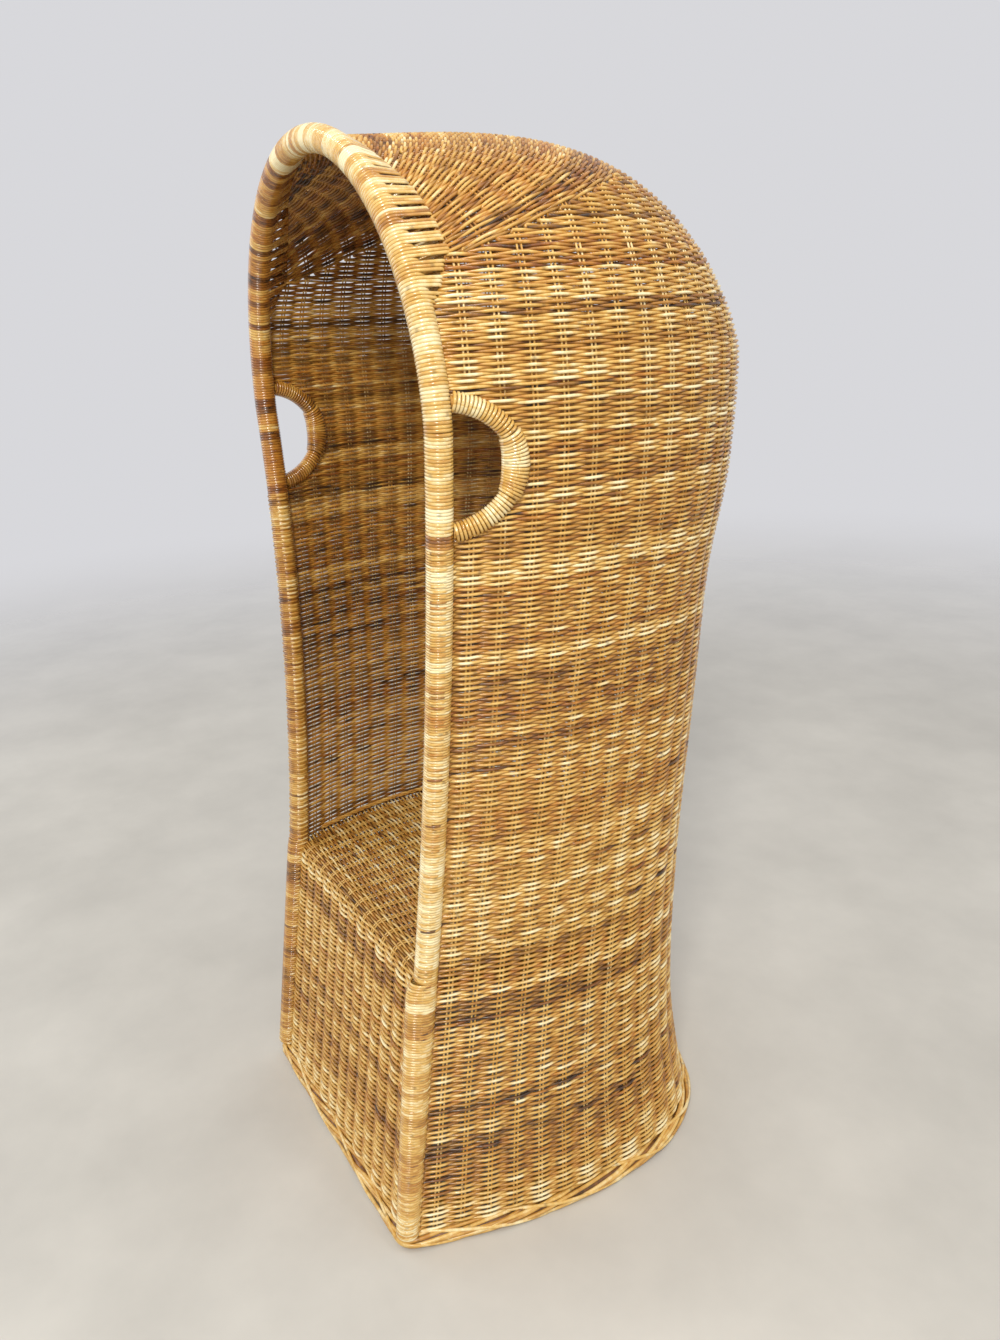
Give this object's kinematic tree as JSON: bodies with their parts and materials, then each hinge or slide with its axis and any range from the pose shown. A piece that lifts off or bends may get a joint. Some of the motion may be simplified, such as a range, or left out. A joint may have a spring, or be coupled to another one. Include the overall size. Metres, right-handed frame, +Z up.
{
  "type": "porters chair",
  "caption": "Hooded woven cane porter's chair with a round-topped front arch, small D-shaped side windows, a woven seat and a skirt to the floor.",
  "frame": {"origin": "centre of the bounding box, on the floor under the hem", "axes": "+Z up, the open front faces -Y, +X is the right side as seen from the front"},
  "size_m": [0.7064, 0.721, 1.5688],
  "materials": {
    "front_arch": "bare bent cane pole",
    "arch_binding": "wound glossy cane",
    "left_foot_binding": "woven cane",
    "right_foot_binding": "woven cane",
    "left_window_rim": "bare bent cane",
    "right_window_rim": "bare bent cane",
    "left_window_middle_binding": "wound cane",
    "right_window_middle_binding": "wound cane",
    "left_window_lower_winding": "wound cane",
    "right_window_lower_winding": "wound cane",
    "left_window_upper_winding": "wound cane",
    "right_window_upper_winding": "wound cane",
    "left_wall": "varnished woven cane",
    "right_wall": "varnished woven cane",
    "back_wall": "varnished woven cane",
    "left_rear_corner": "varnished woven cane",
    "right_rear_corner": "varnished woven cane",
    "left_hood_side": "varnished woven cane",
    "right_hood_side": "varnished woven cane",
    "left_hood_crown": "varnished woven cane",
    "right_hood_crown": "varnished woven cane",
    "seat_and_apron": "varnished woven cane",
    "left_seat_edge": "cane strip",
    "right_seat_edge": "cane strip",
    "front_rail": "bare pole",
    "seat_hoop": "bare bent pole",
    "cross_bar_1": "bare pole",
    "cross_bar_2": "bare pole",
    "cross_bar_3": "bare pole",
    "left_rear_leg": "bare pole",
    "right_rear_leg": "bare pole",
    "foot_braid": "braided cane",
    "base_hoop": "bare bent cane"
  },
  "bodies": {
    "root": {"front_arch": "front_arch", "arch_binding": "arch_binding", "left_foot_binding": "left_foot_binding", "right_foot_binding": "right_foot_binding", "left_window_rim": "left_window_rim", "right_window_rim": "right_window_rim", "left_window_middle_binding": "left_window_middle_binding", "right_window_middle_binding": "right_window_middle_binding", "left_window_lower_winding": "left_window_lower_winding", "right_window_lower_winding": "right_window_lower_winding", "left_window_upper_winding": "left_window_upper_winding", "right_window_upper_winding": "right_window_upper_winding", "left_wall": "left_wall", "right_wall": "right_wall", "back_wall": "back_wall", "left_rear_corner": "left_rear_corner", "right_rear_corner": "right_rear_corner", "left_hood_side": "left_hood_side", "right_hood_side": "right_hood_side", "left_hood_crown": "left_hood_crown", "right_hood_crown": "right_hood_crown", "seat_and_apron": "seat_and_apron", "left_seat_edge": "left_seat_edge", "right_seat_edge": "right_seat_edge", "front_rail": "front_rail", "seat_hoop": "seat_hoop", "cross_bar_1": "cross_bar_1", "cross_bar_2": "cross_bar_2", "cross_bar_3": "cross_bar_3", "left_rear_leg": "left_rear_leg", "right_rear_leg": "right_rear_leg", "foot_braid": "foot_braid", "base_hoop": "base_hoop"}
  },
  "joints": []
}
